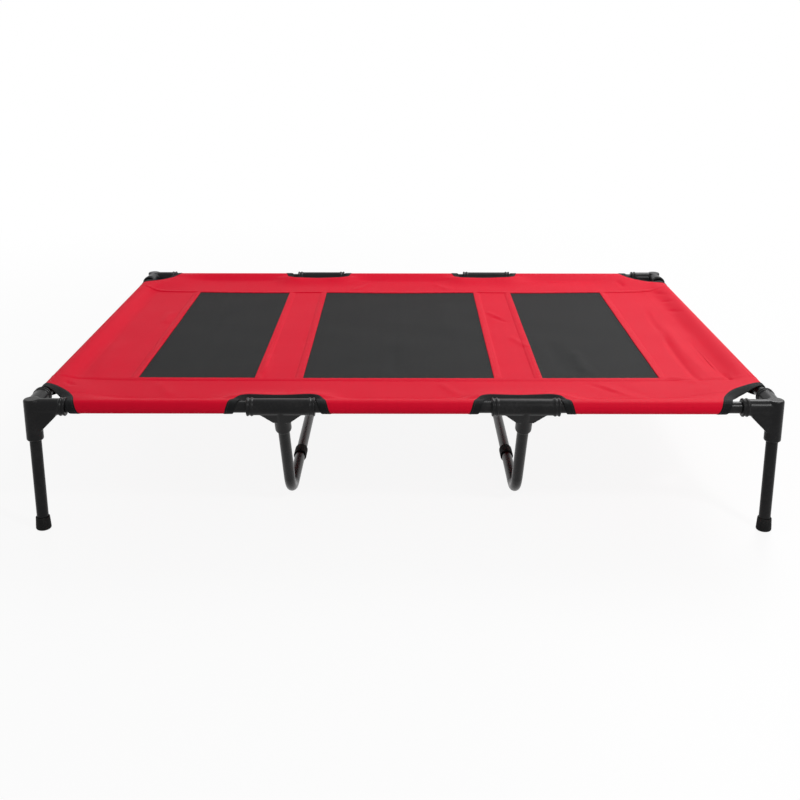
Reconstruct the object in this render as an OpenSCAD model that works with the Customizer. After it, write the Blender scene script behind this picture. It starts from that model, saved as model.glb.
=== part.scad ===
// Raised dog cot: a knock-down tube frame that carries a sewn cloth bed.
// X runs along the length, Y from the front to the back, Z up from the floor.

/* [Overall] */
// Length over the collars of the corner connectors
cot_l = 1219; // [1000:1:1500]
// Width over the collars of the corner connectors
cot_w = 914; // [700:1:1100]
// Height from the floor to the top of the collars
cot_h = 229; // [200:1:300]

/* [Tube] */
// Outer diameter of every frame tube
tube_d = 19; // [16:0.5:25]
// Wall of every frame tube
tube_wall = 1; // [0.8:0.1:2]

/* [Connectors] */
// Wall of a connector around a tube
socket_wall = 3.9; // [3:0.1:6]
// Clearance between a tube and its socket, on the radius
socket_fit = 0.1; // [0.05:0.01:0.2]
// Plastic left between two sockets, which stops the tubes
stop_wall = 2.4; // [1.5:0.1:5]
// Reach of a corner's rail sockets from the leg axis
corner_reach = 54.5; // [45:0.5:70]
// Reach of a corner's leg socket below the rail axis
leg_socket_reach = 56.5; // [45:0.5:70]
// Length of the ridged collar at the mouth of a socket
collar_l = 15.5; // [12:0.5:20]
// Thickness of the gusset blocks under the sockets
gusset_t = 24; // [12:0.5:26]
// Height of a collar ridge
ridge_h = 1.75; // [0.5:0.25:3]
// Radius of a collar ridge
ridge_r = 2; // [1:0.25:3]
// Distance between the two ridges of a collar
ridge_pitch = 6.5; // [4:0.5:9]
// Rounding of a corner connector's top rim
cap_round = 3; // [1:0.5:6]
// Bevel at the mouth of a leg socket
mouth_bevel = 2; // [0.5:0.5:3]

/* [Tees] */
// Distance between the two tees of a long rail
tee_spacing = 392; // [300:1:460]
// Length of a tee's sleeve along the rail
tee_l = 110; // [90:1:140]
// Reach of a tee's support socket from the rail axis
tee_reach = 56; // [46:1:70]
// Reach of a tee's gusset along the rail
tee_gusset_reach = 40.5; // [30:0.5:46]
// Slant of the support legs from the vertical, in degrees
support_tilt = 30; // [20:1:40]

/* [Supports] */
// Bend radius of a support tube, on its centre line
bend_r = 78; // [50:1:120]
// How much a support's wall thins in a bend, on each face
bend_thinning = 0.1; // [0.05:0.05:0.3]
// Distance between the two glides of a support tube
glide_spacing = 294; // [150:1:400]
// Length of a glide along the tube
glide_l = 32; // [20:1:80]
// Wall of a glide around the tube
glide_wall = 2.4; // [1.5:0.1:5]
// Width of a glide's flat sole
glide_sole_w = 15; // [8:0.5:20]

/* [Feet] */
// Height of a foot cap
foot_h = 22.5; // [15:0.5:40]
// Wall of a foot cap at its sole
foot_wall = 2.9; // [2:0.1:6]
// Wall of a foot cap at its rim
foot_rim_wall = 1.7; // [1:0.1:4]
// Thickness of a foot cap under the leg
foot_floor = 3; // [2:0.5:8]
// Rounding of the edge round a foot cap's sole
foot_round = 3; // [1:0.5:5]

/* [Cloth] */
// Thickness of the coated cloth
cloth_t = 1.2; // [0.6:0.1:2]
// Thickness of the mesh
mesh_t = 0.8; // [0.4:0.1:1.6]
// Slack between a rail and its cloth sleeve, on the radius
sleeve_slack = 0.3; // [0.2:0.1:1]
// Distance from a rail's axis to where its sleeve closes into one sheet
sleeve_run = 40; // [30:1:44]
// Distance from a rail's axis to the seam with the mesh
border_w = 145.5; // [120:0.5:180]
// Width of the middle mesh panel
middle_mesh_w = 328; // [200:1:400]
// Width of a cross band
band_w = 86; // [50:1:120]
// Gap between two pieces at a seam
seam_gap = 0.2; // [0.1:0.1:0.5]
// Width of the binding tape
tape_w = 11; // [6:0.5:16]
// Bare side rail between a corner connector and the tape
side_bare = 6.5; // [4:0.5:20]
// Bare end rail between a corner connector and the tape
end_bare = 18.5; // [10:0.5:30]
// How far a corner cut-out bulges inwards from the chord between its rails
corner_bulge = 13; // [12:0.5:24]
// Bare rail between a tee and the tape
tee_bare = 10; // [6:0.5:30]
// Distance from a tee's side to the tape behind it
tee_behind = 7.5; // [6:0.5:30]
// Rounding of a tee cut-out's inner corners
tee_cut_round = 24; // [17:0.5:28]
// Length of the flare at each end of a side strip's seam
flare_l = 76; // [50:1:100]
// Rise of that flare at the end rail
flare_rise = 28; // [20:1:34]

/* [Hidden] */
$fn = 64;

SIDES = ["front", "back"];
ENDS = ["left", "right"];
PANELS = ["left", "middle", "right"];
CORNERS = [for (side = SIDES, end = ENDS) str(side, "_", end)];

steel_colour = "#1d1d1f";
plastic_colour = "#262628";
rubber_colour = "#161617";
cloth_colour = "#d8304a";
mesh_colour = "#404244";
tape_colour = "#1a1c1e";

// Amount by which a cutting shape passes the face that it cuts
past = 1;

tube_r = tube_d / 2;
bore_r = tube_r + socket_fit;
socket_r = bore_r + socket_wall;
stop_x = bore_r + stop_wall;
collar_r = socket_r + ridge_h;

// Axes of the legs and rails
axis_x = cot_l / 2 - collar_r;
axis_y = cot_w / 2 - collar_r;
rail_z = cot_h - collar_r;
tee_x = tee_spacing / 2;

// A corner's gussets leave its sockets behind the collars
gusset_reach = corner_reach - collar_l;

// The support tube's run: down from a tee, round a bend, along the floor
run_z = bore_r + glide_wall;
bend_turn = 90 - support_tilt;
bend_tangent = bend_r * tan(bend_turn / 2);
knee_fall = (rail_z - run_z) / cos(support_tilt);
knee_y = axis_y - knee_fall * sin(support_tilt);
run_half = knee_y - bend_tangent;
// Straight stretch that runs on over the start of a bend
bend_lap = 0.5;

sleeve_bore_r = tube_r + sleeve_slack;
sleeve_r = sleeve_bore_r + cloth_t;
sleeve_steps = 8;
// Share of the sleeve's run over which its two plies lie apart
ply_share = acos(cloth_t / (sleeve_r - cloth_t / 2) - 1) / 180;

mesh_x = axis_x - border_w;
mesh_y = axis_y - border_w;
band_x = middle_mesh_w / 2;
flare_r = (flare_l * flare_l + flare_rise * flare_rise) / (2 * flare_rise);

// Cut-outs in the cloth, measured to the edge that the tape covers
corner_cut_x = corner_reach + side_bare + tape_w;
corner_cut_y = corner_reach + end_bare + tape_w;
corner_chord = norm([corner_cut_x, corner_cut_y]);
corner_cut_r = (corner_chord * corner_chord / 4 + corner_bulge * corner_bulge) / (2 * corner_bulge);
corner_cut_back = (corner_cut_r - corner_bulge) / corner_chord;
corner_cut_centre = [
    corner_cut_x / 2 - corner_cut_back * corner_cut_y,
    corner_cut_y / 2 - corner_cut_back * corner_cut_x
];
tee_cut_half = tee_l / 2 + tee_bare + tape_w;
tee_cut_depth = socket_r + tee_behind + tape_w;
cloth_margin = 2 * sleeve_r;

function end_sign(end) = end == "left" ? -1 : 1;

// Height of the sleeve's skin above the rail's axis, falling from the crest to the sheet
function skin_h(u) = cloth_t / 2 + (sleeve_r - cloth_t / 2) * (1 + cos(180 * u)) / 2;

// Puts a shape made for the front left quarter at another corner
module at_quarter(side, end)
    mirror([end == "right" ? 1 : 0, 0, 0])
        mirror([0, side == "back" ? 1 : 0, 0])
            children();

module along_x() rotate([0, 90, 0]) children();
module along_y() rotate([-90, 0, 0]) children();

module tube(l) difference() {
    cylinder(r = tube_r, h = l);
    translate([0, 0, -past]) cylinder(r = tube_r - tube_wall, h = l + 2 * past);
}

// Two rings round the mouth of a socket that opens at height l
module collar(l)
    for (ring = [0, 1])
        translate([0, 0, l - ridge_r - ring * ridge_pitch])
            rotate_extrude() translate([collar_r - ridge_r, 0]) circle(r = ridge_r);

// A socket that reaches l upwards, with a bevelled mouth
module bevelled_socket(l) {
    cylinder(r = socket_r, h = l - mouth_bevel);
    translate([0, 0, l - mouth_bevel])
        cylinder(r1 = socket_r, r2 = socket_r - mouth_bevel, h = mouth_bevel);
}

// The post that stands over a leg, with a rounded rim on its flat top
module leg_post() {
    mirror([0, 0, 1]) bevelled_socket(leg_socket_reach);
    cylinder(r = socket_r, h = socket_r - cap_round);
    rotate_extrude() translate([0, socket_r - cap_round]) {
        square([socket_r - cap_round, cap_round]);
        intersection() {
            translate([socket_r - cap_round, 0]) circle(r = cap_round);
            translate([socket_r - cap_round, 0]) square(cap_round);
        }
    }
}

// Block that braces a corner's rail socket against its leg socket
module corner_gusset()
    rotate([90, 0, 0])
        linear_extrude(gusset_t, center = true)
            polygon([
                [0, 0], [gusset_reach, 0], [gusset_reach, -socket_r],
                [socket_r, -gusset_reach], [0, -gusset_reach]
            ]);

module rail_socket() {
    along_x() cylinder(r = socket_r, h = corner_reach);
    along_x() collar(corner_reach);
    corner_gusset();
}

module corner_connector()
    color(plastic_colour)
        translate([-axis_x, -axis_y, rail_z])
            difference() {
                union() {
                    leg_post();
                    rail_socket();
                    mirror([1, -1, 0]) rail_socket();
                }
                along_x() translate([0, 0, stop_x]) cylinder(r = bore_r, h = corner_reach);
                along_y() translate([0, 0, stop_x]) cylinder(r = bore_r, h = corner_reach);
                translate([0, 0, -stop_x - leg_socket_reach]) cylinder(r = bore_r, h = leg_socket_reach);
            }

module leaning() rotate([180 + support_tilt, 0, 0]) children();

module tee_gusset()
    rotate([90, 0, 0])
        linear_extrude(gusset_t, center = true)
            polygon([
                [-tee_gusset_reach, 0], [tee_gusset_reach, 0],
                [socket_r, tee_gusset_reach - socket_r], [-socket_r, tee_gusset_reach - socket_r]
            ]);

module tee_connector()
    color(plastic_colour)
        translate([-tee_x, -axis_y, rail_z])
            difference() {
                union() {
                    along_x() cylinder(r = socket_r, h = tee_l, center = true);
                    for (turn = [90, -90]) rotate([0, turn, 0]) collar(tee_l / 2);
                    leaning() bevelled_socket(tee_reach);
                    leaning() tee_gusset();
                }
                for (turn = [90, -90])
                    rotate([0, turn, 0]) translate([0, 0, stop_wall / 2]) cylinder(r = bore_r, h = tee_l);
                leaning() translate([0, 0, stop_x]) cylinder(r = bore_r, h = tee_reach);
            }

// Outer stretch of a long rail, from a corner's stop to a tee's stop
module rail_outer()
    color(steel_colour)
        translate([-axis_x + stop_x, -axis_y, rail_z])
            along_x() tube(axis_x - stop_x - tee_x - stop_wall / 2);

module rail_middle()
    color(steel_colour)
        translate([-tee_x + stop_wall / 2, -axis_y, rail_z])
            along_x() tube(tee_spacing - stop_wall);

module end_rail()
    color(steel_colour)
        translate([-axis_x, -axis_y + stop_x, rail_z])
            along_y() tube(2 * (axis_y - stop_x));

module leg()
    color(steel_colour)
        translate([-axis_x, -axis_y, foot_floor]) tube(rail_z - stop_x - foot_floor);

module foot_cap()
    color(rubber_colour)
        translate([-axis_x, -axis_y, 0])
            rotate_extrude() difference() {
                foot_r = bore_r + foot_wall;
                union() {
                    square([foot_r - foot_round, foot_round]);
                    translate([foot_r - foot_round, foot_round]) circle(r = foot_round);
                    polygon([
                        [0, foot_round], [foot_r, foot_round],
                        [bore_r + foot_rim_wall, foot_h], [0, foot_h]
                    ]);
                }
                translate([0, foot_floor]) square([bore_r, foot_h]);
            }

// Section of a frame tube, with thin off each face
module tube_section(thin) difference() {
    circle(r = tube_r - thin);
    circle(r = tube_r - tube_wall + thin);
}

// One leg and bend of a support
module support_limb() {
    translate([0, -axis_y, rail_z])
        leaning()
            translate([0, 0, stop_x])
                linear_extrude(knee_fall - bend_tangent - stop_x + bend_lap) tube_section(0);
    translate([0, -run_half, run_z + bend_r])
        rotate([0, 90, 0])
            rotate([0, 0, -bend_turn])
                rotate_extrude(angle = bend_turn) translate([bend_r, 0]) tube_section(bend_thinning);
}

module support_tube()
    color(steel_colour)
        translate([-tee_x, 0, 0]) {
            support_limb();
            mirror([0, 1, 0]) support_limb();
            translate([0, -run_half - bend_lap, run_z])
                along_y() linear_extrude(2 * (run_half + bend_lap)) tube_section(0);
        }

// Sleeve with a flat sole that keeps a support tube off the floor
module floor_glide()
    color(rubber_colour)
        translate([-tee_x, -glide_spacing / 2, run_z])
            rotate([90, 0, 0])
                linear_extrude(glide_l, center = true)
                    difference() {
                        union() {
                            circle(r = run_z);
                            translate([-glide_sole_w / 2, -run_z]) square([glide_sole_w, run_z]);
                        }
                        circle(r = bore_r);
                    }

// Section of a cloth sleeve: x runs inwards from the rail's axis, y is the height over it
module sleeve_section() {
    crest = [for (i = [0:sleeve_steps]) i / sleeve_steps];
    outer = [for (u = crest) [sleeve_run * u, skin_h(u)]];
    inner = [for (u = crest) [sleeve_run * ply_share * u, skin_h(ply_share * u) - cloth_t]];
    difference() {
        union() {
            circle(r = sleeve_r);
            two_plies(outer);
        }
        circle(r = sleeve_bore_r);
        two_plies(inner);
    }
}

// Closed shape between an upper edge and its mirror image
module two_plies(edge) {
    count = len(edge);
    lower = [for (i = [1:count]) [edge[count - i].x, -edge[count - i].y]];
    polygon(concat(edge, lower));
}

module side_sleeve()
    translate([0, -axis_y, rail_z])
        rotate([90, 0, 90])
            linear_extrude(2 * (axis_x - sleeve_run), center = true) sleeve_section();

module end_sleeve()
    translate([-axis_x, 0, rail_z])
        rotate([90, 0, 0])
            linear_extrude(2 * (axis_y - sleeve_run), center = true) sleeve_section();

module sheet(x, y, t) translate([0, 0, rail_z]) cube([x, y, t], center = true);

// The front left half of the bed's coated cloth, before it is cut into pieces
module cloth_skin() {
    side_sleeve();
    end_sleeve();
    mirror([1, 0, 0]) end_sleeve();
    sheet(2 * (axis_x - sleeve_run), 2 * (axis_y - sleeve_run), cloth_t);
}

// What of the skin lies over a plan outline
module cut_from_skin()
    intersection() {
        cloth_skin();
        translate([0, 0, rail_z - cloth_margin]) linear_extrude(2 * cloth_margin) children();
    }

// Outline of a corner cut-out, drawn in by inset
module corner_cut(inset)
    translate([-axis_x, -axis_y])
        translate(corner_cut_centre) circle(r = corner_cut_r - inset);

// Outline of a tee cut-out, drawn in by inset
module tee_cut(inset) {
    half = tee_cut_half - inset;
    depth = tee_cut_depth - inset;
    round = tee_cut_round - inset;
    translate([-tee_x, -axis_y]) {
        translate([-half, -cloth_margin]) square([2 * half, cloth_margin + depth - round]);
        translate([round - half, -cloth_margin]) square([2 * (half - round), cloth_margin + depth]);
        for (side = [-1, 1]) translate([side * (half - round), depth - round]) circle(r = round);
    }
}

module side_strip_plan() {
    flare_x = axis_x - flare_l;
    flare_y = mesh_y + flare_r;
    outer_y = axis_y + cloth_margin;
    difference() {
        union() {
            translate([-flare_x, -outer_y]) square([2 * flare_x, outer_y - mesh_y]);
            translate([-flare_x - flare_r, -outer_y]) square([2 * (flare_x + flare_r), outer_y - flare_y]);
            for (end = [-1, 1]) translate([end * flare_x, -flare_y]) circle(r = flare_r);
        }
        for (end = ENDS) at_quarter("front", end) {
            corner_cut(-seam_gap);
            tee_cut(-seam_gap);
        }
    }
}

module end_strip_plan() {
    outer_x = axis_x + cloth_margin;
    flare_x = axis_x - flare_l;
    flare_y = mesh_y + flare_r;
    half = mesh_y - seam_gap;
    difference() {
        union() {
            translate([-outer_x, -half]) square([outer_x - mesh_x - seam_gap, 2 * half]);
            translate([-outer_x, -flare_y]) square([outer_x - flare_x, 2 * flare_y]);
        }
        for (side = [-1, 1]) translate([-flare_x, side * flare_y]) circle(r = flare_r + seam_gap);
    }
}

module side_strip() color(cloth_colour) cut_from_skin() side_strip_plan();
module end_strip() color(cloth_colour) cut_from_skin() end_strip_plan();

module corner_binding()
    color(tape_colour) cut_from_skin() difference() {
        corner_cut(0);
        corner_cut(tape_w);
    }

module tee_binding()
    color(tape_colour) cut_from_skin() difference() {
        tee_cut(0);
        tee_cut(tape_w);
    }

module cross_band(end)
    color(cloth_colour)
        translate([end_sign(end) * (band_x + band_w / 2), 0, 0])
            sheet(band_w, 2 * (mesh_y - seam_gap), cloth_t);

module mesh_panel(part) {
    side_w = mesh_x - band_x - band_w;
    x = part == "middle" ? 0 : end_sign(part) * (mesh_x - side_w / 2);
    w = part == "middle" ? middle_mesh_w : side_w;
    color(mesh_colour)
        translate([x, 0, 0]) sheet(w - 2 * seam_gap, 2 * (mesh_y - seam_gap), mesh_t);
}

module wanted(name) children();

for (side = SIDES, end = ENDS) {
    corner = str(side, "_", end);
    wanted(str("corner_connector_", corner)) at_quarter(side, end) corner_connector();
    wanted(str("tee_connector_", corner)) at_quarter(side, end) tee_connector();
    wanted(str("rail_", corner)) at_quarter(side, end) rail_outer();
    wanted(str("leg_", corner)) at_quarter(side, end) leg();
    wanted(str("foot_cap_", corner)) at_quarter(side, end) foot_cap();
    wanted(str("floor_glide_", corner)) at_quarter(side, end) floor_glide();
    wanted(str("corner_binding_", corner)) at_quarter(side, end) corner_binding();
    wanted(str("tee_binding_", corner)) at_quarter(side, end) tee_binding();
}
for (side = SIDES) {
    wanted(str("rail_", side, "_middle")) at_quarter(side, "left") rail_middle();
    wanted(str("side_strip_", side)) at_quarter(side, "left") side_strip();
}
for (end = ENDS) {
    wanted(str("end_rail_", end)) at_quarter("front", end) end_rail();
    wanted(str("support_tube_", end)) at_quarter("front", end) support_tube();
    wanted(str("end_strip_", end)) at_quarter("front", end) end_strip();
    wanted(str("cross_band_", end)) cross_band(end);
}
for (part = PANELS) wanted(str("mesh_panel_", part)) mesh_panel(part);
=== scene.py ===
"""Raised dog cot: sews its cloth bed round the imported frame, finishes every piece and sets the stage.

Lengths are in metres. X runs along the cot, Y from the front to the back, and Z up from the floor.
"""

import math

import bmesh
import bpy
import numpy as np
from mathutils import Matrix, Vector, kdtree
from mathutils.geometry import delaunay_2d_cdt


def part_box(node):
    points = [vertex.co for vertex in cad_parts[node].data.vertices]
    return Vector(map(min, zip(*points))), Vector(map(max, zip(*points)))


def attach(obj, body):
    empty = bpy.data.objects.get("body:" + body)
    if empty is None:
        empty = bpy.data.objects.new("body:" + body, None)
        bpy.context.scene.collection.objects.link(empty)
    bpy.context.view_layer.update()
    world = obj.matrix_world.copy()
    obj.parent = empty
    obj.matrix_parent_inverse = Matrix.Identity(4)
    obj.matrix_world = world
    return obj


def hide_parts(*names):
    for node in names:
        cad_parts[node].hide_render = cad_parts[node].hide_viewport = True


bl_info = {
    "name": "Raised dog cot",
    "version": (1, 0, 0),
    "blender": (4, 5, 0),
    "location": "View3D > Sidebar > Cot",
    "description": "Sews the bed of a raised dog cot round its frame and gives each piece its finish",
    "category": "Object",
}

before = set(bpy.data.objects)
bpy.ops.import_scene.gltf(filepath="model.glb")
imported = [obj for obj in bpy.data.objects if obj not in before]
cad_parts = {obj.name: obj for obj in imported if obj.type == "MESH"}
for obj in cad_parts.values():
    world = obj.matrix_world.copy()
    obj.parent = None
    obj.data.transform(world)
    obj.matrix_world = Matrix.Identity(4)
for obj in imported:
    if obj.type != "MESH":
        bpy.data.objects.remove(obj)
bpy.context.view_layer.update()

BODY = "frame"
SIDES = {"front": -1, "back": 1}
ENDS = {"left": -1, "right": 1}
PANELS = ("left", "middle", "right")
CORNERS = [(side, end) for side in SIDES for end in ENDS]


def middle_of(node):
    low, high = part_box(node)
    return (Vector(low) + Vector(high)) / 2


# Places of the rails and the tees and the outer radius of a sleeve, read off the frame
AXIS_X = middle_of("leg_front_right").x
AXIS_Y = middle_of("leg_back_right").y
RAIL_Z = middle_of("end_rail_right").z
TEE_X = middle_of("support_tube_right").x
SLEEVE_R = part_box("side_strip_back")[1][1] - AXIS_Y

# Seams beside the mesh, with the cloth that they take up along and across the cot
SEAM_TAKE_X = 0.0024
SEAM_TAKE_Y = 0.0038
MESH_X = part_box("mesh_panel_right")[1][0] + SEAM_TAKE_X
MESH_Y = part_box("mesh_panel_right")[1][1] + SEAM_TAKE_Y
BAND_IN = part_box("cross_band_right")[0][0] + SEAM_TAKE_X
BAND_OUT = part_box("cross_band_right")[1][0] - SEAM_TAKE_X

# Outlines of the sewn pieces that the boxes don't give
SLEEVE_RUN = 0.040
FLARE_L = 0.076
FLARE_RISES = {
    ("front", "left"): 0.013, ("front", "right"): 0.013, ("back", "left"): 0.034, ("back", "right"): 0.013,
}
FLARE_X = AXIS_X - FLARE_L

# A corner cut-out is an arc between the side rail and the end rail
CORNER_CUT_X = 0.072
CORNER_CUT_Y = 0.084
CORNER_CUT_SLANT = 0.34
CORNER_BULGE = 0.013
CORNER_CHORD = math.hypot(CORNER_CUT_X, CORNER_CUT_Y)
CORNER_R = (CORNER_CHORD**2 / 4 + CORNER_BULGE**2) / (2 * CORNER_BULGE)
CORNER_BACK = (CORNER_R - CORNER_BULGE) / CORNER_CHORD
CORNER_X = CORNER_CUT_X / 2 - CORNER_BACK * CORNER_CUT_Y
CORNER_Y = CORNER_CUT_Y / 2 - CORNER_BACK * CORNER_CUT_X

# A tee cut-out narrows from the hem to its rounded top, and sits to the right of its place in the bed
TEE_CUT_HALF = 0.0745
TEE_CUT_SHIFT = 0.003
TEE_CUT_SLANT = 0.30
TEE_CUT_DEPTH = 0.032
TEE_CUT_ROUND = 0.024
TEE_CUT_LEAN = math.atan(TEE_CUT_SLANT)
TEE_ROUND_Y = TEE_CUT_DEPTH - TEE_CUT_ROUND
TEE_ROUND_X = TEE_CUT_HALF - TEE_CUT_SLANT * TEE_ROUND_Y - TEE_CUT_ROUND / math.cos(TEE_CUT_LEAN)

# Reach of the rise in the cloth round the cut-outs
CORNER_RISE_REACH = 0.055
TAPE_FALL_REACH = 0.017
TEE_RISE_START = 0.006
TEE_RISE_REACH = 0.030
TEE_FALL_REACH = 0.014
TEE_DIP_HALF = 0.055
TEE_DIP = 0.16

# The free edge of a tee's tape hangs down from a little behind the rail's axis
TEE_HANG = 0.003
TEE_HANG_START = 0.002
TEE_HANG_REACH = 0.006

# Share of its height that a hem keeps where it is drawn round an end rail
PRESSED = 0.35

# Distance between the two plies behind a sleeve's seam, in thicknesses of the cloth
PLY_GAP = 1.1

# Distance between the points of an outline's path, and points on seams and on rows of stitches
PATH_STEP = 0.002
ARC_POINTS = 40
FLARE_START_POINTS = 16
FLARE_POINTS = 70
SIDE_POINTS = 240
CROSS_POINTS = 150
SIDE_ROW_POINTS = 120
END_ROW_POINTS = 180

# Distance to each side over which the slope of the bed is taken
SLOPE_STEP = 0.0002

# Share of a grid's spacing that its points keep from the outline, and how the triangles are made
EDGE_CLEAR = 0.6
INSIDE_ONLY = 1
SAME_POINT = 1e-8

# Angle past which an edge of the cloth is shaded as sharp, and the name of the cloth's UV map
SHARP_ANGLE = math.radians(50)
UV_MAP = "Cloth"

# The mesh's grid in grids of the cloth, and the parts of a hem's width of which one covers the mesh
MESH_GRAIN = 1.4
MESH_TUCK_PARTS = 3

# Rows of stitches: lifts in half thicknesses of the cloth, insets as a share of a tape's width and beside
# a sleeve, and the distance that a row keeps from cut-outs and seams
SLEEVE_STITCH_LIFT = 1.1
TAPE_STITCH_LIFT = 2.25
TAPE_STITCH_INSET = 0.08
SLEEVE_STITCH_INSET = 0.004
STITCH_CLEAR = 0.004

# The red cloth's material, the colour of dust and the white round the cot
RED_CLOTH = "red_coated_cloth"
DUST_COLOUR = (0.13, 0.125, 0.12, 1.0)
WHITE = (1.0, 1.0, 1.0, 1.0)

# Width of the camera's picture in millimetres
PICTURE_W = 36.0

# Rounding of the moulded pieces: what counts as one point, the smoothing and the share of faces kept
MERGE_DIST = 1e-6
RELAX_FACTOR = 0.5
RELAX_ROUNDS = 5
ROUNDED_KEEP = 0.5

# Ripples beside a seam: long waves that drift, and finer ones over them
RIPPLE_REACH = 0.016
RIPPLE_WAVE = 0.021
RIPPLE_DRIFT = 1.9
RIPPLE_DRIFT_WAVE = 0.134
RIPPLE_FINE = 0.6
RIPPLE_FINE_WAVE = 0.0127
RIPPLE_FINE_TURN = 2.3

# Distance over which the ripples of a crossing seam fade past its ends, and the first such seam's seed
CROSS_FADE = 0.02
CROSS_SEED = 3

# Slow swells of the whole bed
SWELL_H = 0.0005
SWELL_X = 0.31
SWELL_Y = 0.27
SWELL_TURN = 0.8
SWELL_BEND = 1.3
SWELL_BEND_Y = 0.42

# Share of its length by which a crease bows out, and the parts of it of which each end fades over one
FOLD_BOW = 0.02
FOLD_FADE_PARTS = 3.5

# Creases of the stretched cloth: start, end, half width and height in millimetres, seen from above
FOLDS = [
    ((517, 170), (508, -40), 5.0, -1.0),
    ((510, -5), (509, -372), 5.5, -1.5),
    ((530, 90), (534, -350), 12.0, 1.6),
    ((552, -30), (561, -345), 4.0, -0.8),
    ((560, 300), (604, 215), 6.0, -1.3),
    ((560, 222), (604, 176), 5.5, -1.5),
    ((561, 152), (590, 96), 6.0, -1.4),
    ((559, -270), (558, -330), 4.0, -1.0),
    ((452, -290), (520, -330), 9.0, 1.0),
    ((330, -322), (384, -402), 5.5, 0.9),
    ((306, -314), (368, -388), 6.0, -0.6),
    ((352, -318), (412, -398), 7.0, -0.5),
    ((497, 398), (506, 338), 5.0, -1.1),
    ((320, -120), (324, -292), 11.0, 1.3),
    ((286, -60), (292, -290), 14.0, -0.9),
    ((-572, -338), (-548, -362), 5.0, -1.2),
    ((-540, -60), (-528, -330), 20.0, 1.0),
    ((-488, 140), (-484, 40), 9.0, 1.0),
    ((172, 150), (206, 84), 5.0, 1.0),
    ((184, 108), (214, 58), 5.0, -0.9),
    ((206, -30), (238, -120), 7.0, 0.9),
    ((-246, -150), (-242, -294), 6.0, 1.1),
    ((-12, -90), (-10, -294), 16.0, -1.0),
    ((96, 250), (88, -40), 22.0, 0.8),
    ((-356, 200), (-366, -240), 18.0, -0.8),
    ((-120, 320), (-70, 392), 8.0, 0.8),
    ((110, 322), (60, 390), 8.0, 0.8),
    ((-420, -318), (-380, -396), 9.0, 0.7),
    ((60, -316), (96, -392), 8.0, 0.7),
]

MM = 0.001
TAU = math.tau


def length_prop(name, description, default, least=0.0, **limits):
    """A length that a user can change, in metres."""
    return bpy.props.FloatProperty(
        name=name, description=description, default=default, min=least,
        unit="LENGTH", precision=5, **limits,
    )


def colour_prop(name, description, default):
    """A colour that a user can change."""
    return bpy.props.FloatVectorProperty(
        name=name, description=description, default=default, min=0.0, max=1.0, subtype="COLOR",
    )


class CotBed(bpy.types.PropertyGroup):
    """Sizes and colours of the sewn bed."""

    cloth_t: length_prop("Cloth thickness", "Thickness of the coated cloth", 0.0009, least=0.0003)
    mesh_t: length_prop("Mesh thickness", "Thickness of the open mesh", 0.0006, least=0.0003)
    grain: length_prop("Cloth grid", "Distance between the points of the cloth meshes", 0.0045, least=0.002)
    sag: length_prop("Sag", "How far the middle of the bed hangs below its rails", 0.003)
    fold_strength: bpy.props.FloatProperty(
        name="Folds", description="How strongly the cloth is creased",
        default=1.7, min=0.0, max=2.0, subtype="FACTOR",
    )
    pucker: length_prop("Pucker", "Height of the ripples along the seams", 0.00010)
    slide_x: length_prop(
        "Slide along", "How far the bed sits to the right on its frame", -0.0085, least=-0.01, max=0.01,
    )
    slide_y: length_prop(
        "Slide across", "How far the bed sits to the back on its frame", 0.001, least=-0.01, max=0.01,
    )
    corner_rise: length_prop(
        "Rise at corners", "How far the cloth is drawn up beside a corner cut-out", 0.0095,
    )
    tee_rise: length_prop("Rise at tees", "How far the cloth is drawn up beside a tee cut-out", 0.0095)
    hem_h: length_prop("Hem height", "Height of the folded cloth along a seam", 0.0018, least=0.001)
    hem_w: length_prop("Hem width", "Width of the doubled cloth along a seam", 0.012, least=0.006)
    under_hem: length_prop(
        "Sleeve allowance", "Cloth that runs on under the sheet behind a sleeve's seam", 0.012, least=0.006,
    )
    tape_w: length_prop("Tape width", "Width of the binding tape on each face", 0.0125, least=0.006)
    stitch_pitch: length_prop("Stitch pitch", "Distance from one stitch to the next", 0.0036, least=0.002)
    stitch_l: length_prop(
        "Stitch length", "Length of the thread that shows in one stitch", 0.0027, least=0.001,
    )
    thread_d: length_prop("Thread", "Diameter of the sewing thread", 0.0007, least=0.0002)
    cloth_colour: colour_prop("Cloth colour", "Colour of the coated cloth", (0.78, 0.005, 0.030))
    mesh_colour: colour_prop("Mesh colour", "Colour of the open mesh", (0.0178, 0.0187, 0.0192))
    tape_colour: colour_prop("Tape colour", "Colour of the binding tape", (0.006, 0.0065, 0.007))


class CotFrame(bpy.types.PropertyGroup):
    """Finishes of the frame's hard pieces."""

    rounding: length_prop(
        "Rounding", "Grain of the surface that rounds a moulded piece's edges", 0.0009, least=0.0004,
    )
    steel_colour: colour_prop("Tube colour", "Colour of the painted tubes", (0.007, 0.007, 0.0075))
    plastic_colour: colour_prop(
        "Connector colour", "Colour of the moulded connectors", (0.007, 0.007, 0.0075),
    )
    rubber_colour: colour_prop(
        "Rubber colour", "Colour of the foot caps and floor glides", (0.007, 0.007, 0.007),
    )


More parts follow.
